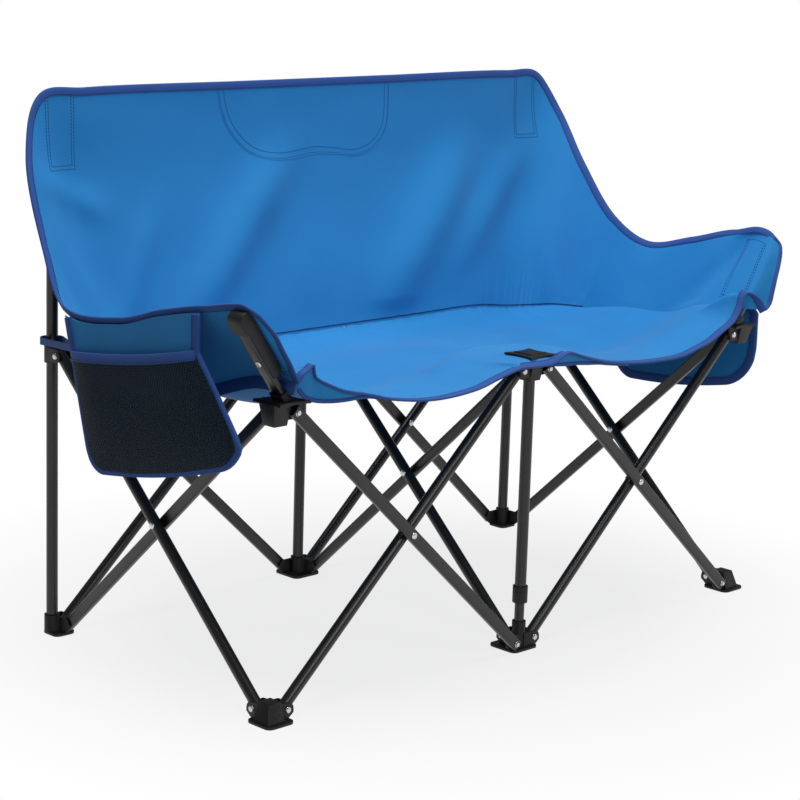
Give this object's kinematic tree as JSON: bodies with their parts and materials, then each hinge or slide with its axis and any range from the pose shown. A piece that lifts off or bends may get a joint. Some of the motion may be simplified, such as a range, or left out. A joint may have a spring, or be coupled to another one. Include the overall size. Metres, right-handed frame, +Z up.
{
  "type": "folding camping loveseat",
  "caption": "Folding camping loveseat: crossed steel tubes on moulded feet carry a cloth sling with low arms, a tall back and side pockets, and the scissor frame gathers into an upright bundle.",
  "frame": {"origin": "on the floor, midway between the six feet", "axes": "+X across the seat, to the right as seen from the front, +Y from front to back, +Z up"},
  "size_m": [1.2518, 0.589, 0.8738],
  "materials": {
    "black_steel": "satin black powder coat",
    "black_plastic": "moulded nylon, fine texture",
    "zinc": "bright zinc plate",
    "blue_cloth": "woven polyester",
    "navy_web": "woven tape",
    "dark_mesh": "knitted mesh"
  },
  "bodies": {
    "rear_middle": {"foot_rear_middle": "black_plastic", "upright_middle": "black_steel", "sleeve_middle": "blue_cloth", "cloth_back": "blue_cloth"},
    "rear_left": {"foot_rear_left": "black_plastic", "upright_left": "black_steel", "sleeve_left": "blue_cloth", "strap_left": "navy_web"},
    "rear_right": {"foot_rear_right": "black_plastic", "upright_right": "black_steel", "sleeve_right": "blue_cloth", "strap_right": "navy_web"},
    "front_left": {"foot_front_left": "black_plastic"},
    "front_middle": {"foot_front_middle": "black_plastic", "post_inner": "black_steel"},
    "front_right": {"foot_front_right": "black_plastic"},
    "slider_left": {"slider_left": "black_plastic"},
    "slider_middle": {"slider_middle": "black_plastic"},
    "slider_right": {"slider_right": "black_plastic"},
    "hub_middle": {"hub_middle": "black_plastic", "post_outer": "black_steel", "post_ferrule": "black_plastic", "seat_cap": "black_plastic"},
    "seat_rear": {"seat_rear": "blue_cloth"},
    "seat_front": {"seat_front": "blue_cloth"},
    "hub_left": {"hub_left": "black_plastic", "arm_post_left": "black_steel", "arm_guard_left": "black_plastic", "cloth_arm_left": "blue_cloth", "bag_left": "blue_cloth", "pocket_left": "dark_mesh"},
    "hub_right": {"hub_right": "black_plastic", "arm_post_right": "black_steel", "arm_guard_right": "black_plastic", "cloth_arm_right": "blue_cloth", "bag_right": "blue_cloth", "pocket_right": "dark_mesh"},
    "riser_front_left": {"riser_front_left": "black_steel", "rivet_front_left": "zinc"},
    "strut_front_left": {"strut_front_left": "black_steel"},
    "riser_front_right": {"riser_front_right": "black_steel"},
    "strut_front_right": {"strut_front_right": "black_steel", "rivet_front_right": "zinc"},
    "riser_rear_left": {"riser_rear_left": "black_steel", "rivet_rear_left": "zinc"},
    "strut_rear_left": {"strut_rear_left": "black_steel"},
    "riser_rear_right": {"riser_rear_right": "black_steel"},
    "strut_rear_right": {"strut_rear_right": "black_steel", "rivet_rear_right": "zinc"},
    "riser_side_left": {"riser_side_left": "black_steel", "rivet_side_left": "zinc"},
    "strut_side_left": {"strut_side_left": "black_steel"},
    "riser_side_middle": {"riser_side_middle": "black_steel", "rivet_side_middle": "zinc"},
    "strut_side_middle": {"strut_side_middle": "black_steel"},
    "riser_side_right": {"riser_side_right": "black_steel", "rivet_side_right": "zinc"},
    "strut_side_right": {"strut_side_right": "black_steel"}
  },
  "joints": [
    {"name": "fold", "type": "hinge", "parent": "rear_middle", "child": "strut_rear_left", "pos_m": [-0.025, 0.265, 0.016], "axis": [0, 1, 0], "range_deg": [0, 44], "deforming": ["cloth_back", "cloth_arm_left", "cloth_arm_right", "seat_rear", "seat_front", "bag_left", "bag_right", "pocket_left", "pocket_right", "strap_left", "strap_right"]},
    {"name": "riser_rear_left_cross", "type": "hinge", "parent": "strut_rear_left", "child": "riser_rear_left", "pos_m": [-0.265, 0.265, 0.237], "axis": [0, 1, 0], "range_deg": [-88, 0]},
    {"name": "rear_left_foot", "type": "hinge", "parent": "riser_rear_left", "child": "rear_left", "pos_m": [-0.505, 0.265, 0.016], "axis": [0, 1, 0], "range_deg": [0, 44]},
    {"name": "slider_left_pivot", "type": "hinge", "parent": "strut_rear_left", "child": "slider_left", "pos_m": [-0.505, 0.265, 0.458], "axis": [0, 1, 0], "range_deg": [-44, 0]},
    {"name": "slider_middle_pivot", "type": "hinge", "parent": "riser_rear_left", "child": "slider_middle", "pos_m": [-0.025, 0.265, 0.458], "axis": [0, 1, 0], "range_deg": [0, 44]},
    {"name": "riser_rear_right_foot", "type": "hinge", "parent": "rear_middle", "child": "riser_rear_right", "pos_m": [0.025, 0.265, 0.016], "axis": [0, -1, 0], "range_deg": [0, 44]},
    {"name": "strut_rear_right_cross", "type": "hinge", "parent": "riser_rear_right", "child": "strut_rear_right", "pos_m": [0.265, 0.265, 0.237], "axis": [0, -1, 0], "range_deg": [-88, 0]},
    {"name": "rear_right_foot", "type": "hinge", "parent": "strut_rear_right", "child": "rear_right", "pos_m": [0.505, 0.265, 0.016], "axis": [0, -1, 0], "range_deg": [0, 44]},
    {"name": "slider_right_pivot", "type": "hinge", "parent": "riser_rear_right", "child": "slider_right", "pos_m": [0.505, 0.265, 0.458], "axis": [0, -1, 0], "range_deg": [-44, 0]},
    {"name": "strut_side_middle_foot", "type": "hinge", "parent": "rear_middle", "child": "strut_side_middle", "pos_m": [0, 0.24, 0.016], "axis": [-1, 0, 0], "range_deg": [0, 44]},
    {"name": "riser_side_middle_cross", "type": "hinge", "parent": "strut_side_middle", "child": "riser_side_middle", "pos_m": [0, 0, 0.237], "axis": [-1, 0, 0], "range_deg": [-88, 0]},
    {"name": "front_middle_foot", "type": "hinge", "parent": "riser_side_middle", "child": "front_middle", "pos_m": [0, -0.24, 0.016], "axis": [-1, 0, 0], "range_deg": [0, 44]},
    {"name": "hub_middle_pivot", "type": "hinge", "parent": "strut_side_middle", "child": "hub_middle", "pos_m": [0, -0.24, 0.458], "axis": [-1, 0, 0], "range_deg": [-44, 0]},
    {"name": "strut_side_left_foot", "type": "hinge", "parent": "rear_left", "child": "strut_side_left", "pos_m": [-0.53, 0.24, 0.016], "axis": [-1, 0, 0], "range_deg": [0, 44]},
    {"name": "riser_side_left_cross", "type": "hinge", "parent": "strut_side_left", "child": "riser_side_left", "pos_m": [-0.53, 0, 0.237], "axis": [-1, 0, 0], "range_deg": [-88, 0]},
    {"name": "front_left_foot", "type": "hinge", "parent": "riser_side_left", "child": "front_left", "pos_m": [-0.53, -0.24, 0.016], "axis": [-1, 0, 0], "range_deg": [0, 44]},
    {"name": "hub_left_pivot", "type": "hinge", "parent": "strut_side_left", "child": "hub_left", "pos_m": [-0.53, -0.24, 0.458], "axis": [-1, 0, 0], "range_deg": [-44, 0]},
    {"name": "strut_side_right_foot", "type": "hinge", "parent": "rear_right", "child": "strut_side_right", "pos_m": [0.53, 0.24, 0.016], "axis": [-1, 0, 0], "range_deg": [0, 44]},
    {"name": "riser_side_right_cross", "type": "hinge", "parent": "strut_side_right", "child": "riser_side_right", "pos_m": [0.53, 0, 0.237], "axis": [-1, 0, 0], "range_deg": [-88, 0]},
    {"name": "front_right_foot", "type": "hinge", "parent": "riser_side_right", "child": "front_right", "pos_m": [0.53, -0.24, 0.016], "axis": [-1, 0, 0], "range_deg": [0, 44]},
    {"name": "hub_right_pivot", "type": "hinge", "parent": "strut_side_right", "child": "hub_right", "pos_m": [0.53, -0.24, 0.458], "axis": [-1, 0, 0], "range_deg": [-44, 0]},
    {"name": "strut_front_left_foot", "type": "hinge", "parent": "front_middle", "child": "strut_front_left", "pos_m": [-0.025, -0.265, 0.016], "axis": [0, 1, 0], "range_deg": [0, 44]},
    {"name": "riser_front_left_cross", "type": "hinge", "parent": "strut_front_left", "child": "riser_front_left", "pos_m": [-0.265, -0.265, 0.237], "axis": [0, 1, 0], "range_deg": [-88, 0]},
    {"name": "riser_front_right_foot", "type": "hinge", "parent": "front_middle", "child": "riser_front_right", "pos_m": [0.025, -0.265, 0.016], "axis": [0, -1, 0], "range_deg": [0, 44]},
    {"name": "strut_front_right_cross", "type": "hinge", "parent": "riser_front_right", "child": "strut_front_right", "pos_m": [0.265, -0.265, 0.237], "axis": [0, -1, 0], "range_deg": [-88, 0]},
    {"name": "seat_rear_turn", "type": "hinge", "parent": "slider_middle", "child": "seat_rear", "pos_m": [0, 0.172, 0.456], "axis": [1, 0, 0], "range_deg": [0, 88]},
    {"name": "seat_front_turn", "type": "hinge", "parent": "hub_middle", "child": "seat_front", "pos_m": [0, -0.288, 0.477], "axis": [1, 0, 0], "range_deg": [-88, 0]}
  ],
  "couplings": [
    {"joint": "riser_rear_left_cross", "follows": "fold", "ratio": -2},
    {"joint": "rear_left_foot", "follows": "fold", "ratio": 1},
    {"joint": "slider_left_pivot", "follows": "fold", "ratio": -1},
    {"joint": "slider_middle_pivot", "follows": "fold", "ratio": 1},
    {"joint": "riser_rear_right_foot", "follows": "fold", "ratio": 1},
    {"joint": "strut_rear_right_cross", "follows": "fold", "ratio": -2},
    {"joint": "rear_right_foot", "follows": "fold", "ratio": 1},
    {"joint": "slider_right_pivot", "follows": "fold", "ratio": -1},
    {"joint": "strut_side_middle_foot", "follows": "fold", "ratio": 1},
    {"joint": "riser_side_middle_cross", "follows": "fold", "ratio": -2},
    {"joint": "front_middle_foot", "follows": "fold", "ratio": 1},
    {"joint": "hub_middle_pivot", "follows": "fold", "ratio": -1},
    {"joint": "strut_side_left_foot", "follows": "fold", "ratio": 1},
    {"joint": "riser_side_left_cross", "follows": "fold", "ratio": -2},
    {"joint": "front_left_foot", "follows": "fold", "ratio": 1},
    {"joint": "hub_left_pivot", "follows": "fold", "ratio": -1},
    {"joint": "strut_side_right_foot", "follows": "fold", "ratio": 1},
    {"joint": "riser_side_right_cross", "follows": "fold", "ratio": -2},
    {"joint": "front_right_foot", "follows": "fold", "ratio": 1},
    {"joint": "hub_right_pivot", "follows": "fold", "ratio": -1},
    {"joint": "strut_front_left_foot", "follows": "fold", "ratio": 1},
    {"joint": "riser_front_left_cross", "follows": "fold", "ratio": -2},
    {"joint": "riser_front_right_foot", "follows": "fold", "ratio": 1},
    {"joint": "strut_front_right_cross", "follows": "fold", "ratio": -2},
    {"joint": "seat_rear_turn", "follows": "fold", "ratio": 2},
    {"joint": "seat_front_turn", "follows": "fold", "ratio": -2}
  ]
}
